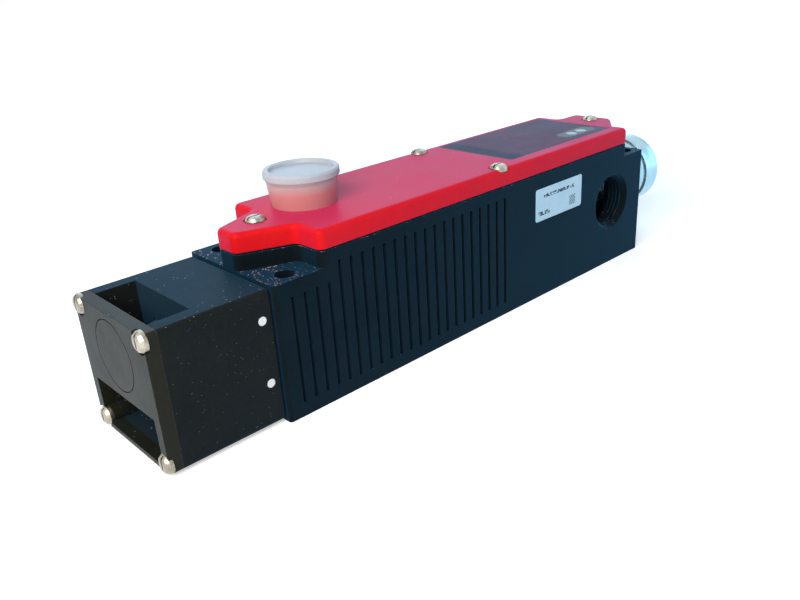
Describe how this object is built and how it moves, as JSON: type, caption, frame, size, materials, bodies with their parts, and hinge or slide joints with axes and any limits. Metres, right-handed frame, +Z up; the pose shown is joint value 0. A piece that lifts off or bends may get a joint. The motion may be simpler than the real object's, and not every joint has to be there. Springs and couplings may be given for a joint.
{
  "type": "tongue interlock switch",
  "caption": "Long tongue-operated guard-locking safety switch: cam head with two tongue slots, grooved base, screwed cover, solenoid lock, cable entry and round connector.",
  "frame": {"origin": "centre of the four mounting holes, on the bottom mounting face", "axes": "+X along the switch from the tongue head to the connector, +Z up from the mounting face to the cover, +Y to the side without the cable entry"},
  "size_m": [0.228, 0.0404, 0.059],
  "materials": {
    "black_moulding": "fine textured moulding",
    "head_metal": "black coated die casting",
    "red_cover": "satin moulding",
    "cap_plastic": "milky translucent",
    "zinc_steel": "zinc plated",
    "bare_steel": "ground",
    "gasket_rubber": "matt",
    "label_film": "dark film",
    "window_plastic": "smoked",
    "board": "solder resist",
    "lamp": "clear",
    "cam_plastic": "moulded",
    "rod_plastic": "moulded",
    "copper_coil": "wound enamelled wire",
    "bobbin_plastic": "moulded",
    "spring_steel": "drawn wire",
    "block_plastic": "moulded",
    "contact_brass": "silver faced",
    "terminal_plastic": "moulded",
    "nickel": "nickel plated brass",
    "insert_plastic": "moulded",
    "gold_pin": "gold flashed",
    "label_paper": "printed film"
  },
  "bodies": {
    "housing": {"base_housing": "black_moulding", "cover_gasket": "gasket_rubber", "cover": "red_cover", "cover_screws": "zinc_steel", "cover_label": "label_film", "led_window": "window_plastic", "circuit_board": "board", "board_screws": "zinc_steel", "led_lamps": "lamp", "head_housing": "head_metal", "head_front_plate": "head_metal", "head_screws": "zinc_steel", "head_gasket": "gasket_rubber", "head_pins": "bare_steel", "cam_pin": "bare_steel", "lever_pin": "bare_steel", "solenoid_yoke": "zinc_steel", "solenoid_bobbin": "bobbin_plastic", "solenoid_coil": "copper_coil", "solenoid_core": "bare_steel", "solenoid_screws": "zinc_steel", "armature_spring": "spring_steel", "contact_block": "block_plastic", "contact_block_lid": "block_plastic", "fixed_contacts": "contact_brass", "carrier_spring": "spring_steel", "block_screws": "zinc_steel", "terminal_block": "terminal_plastic", "terminal_screws": "zinc_steel", "earth_screw": "zinc_steel", "connector_shell": "nickel", "connector_seal": "gasket_rubber", "connector_nut": "nickel", "connector_insert": "insert_plastic", "connector_pins": "gold_pin", "side_label": "label_paper"},
    "cam": {"cam_wheel": "cam_plastic"},
    "plunger": {"head_plunger": "rod_plastic", "lock_rod": "bare_steel", "contact_carrier": "rod_plastic", "contact_bridges": "contact_brass"},
    "armature": {"armature": "bare_steel", "link_pin": "bare_steel"},
    "lever": {"lock_lever": "bare_steel"},
    "release": {"release_spindle": "bare_steel", "release_clip": "spring_steel"},
    "cap": {"protective_cap": "cap_plastic"}
  },
  "joints": [
    {"name": "cam_turn", "type": "hinge", "parent": "housing", "child": "cam", "pos_m": [-0.1015, 0, 0.0185], "axis": [0, -1, 0], "range_deg": [0, 50]},
    {"name": "plunger_slide", "type": "slide", "parent": "housing", "child": "plunger", "axis": [-1, 0, 0], "range_m": [0, 0.0035], "deforming": ["carrier_spring"]},
    {"name": "armature_slide", "type": "slide", "parent": "housing", "child": "armature", "axis": [1, 0, 0], "range_m": [0, 0.0016], "stiffness_N_per_m": 300, "springref_m": -0.004, "deforming": ["armature_spring"]},
    {"name": "lever_tilt", "type": "hinge", "parent": "housing", "child": "lever", "pos_m": [-0.05, 0, 0.027], "axis": [0, 1, 0], "range_deg": [0, 15.28]},
    {"name": "release_turn", "type": "hinge", "parent": "housing", "child": "release", "pos_m": [-0.056, 0.004, 0.0464], "axis": [0, 0, 1], "range_deg": [0, 90]},
    {"name": "cap_lift", "type": "slide", "parent": "housing", "child": "cap", "axis": [0, 0, 1], "range_m": [0, 0.014]}
  ],
  "couplings": [
    {"joint": "plunger_slide", "follows": "cam_turn", "m_per_rad": 0.0040107},
    {"joint": "lever_tilt", "follows": "armature_slide", "rad_per_m": 166.67}
  ]
}
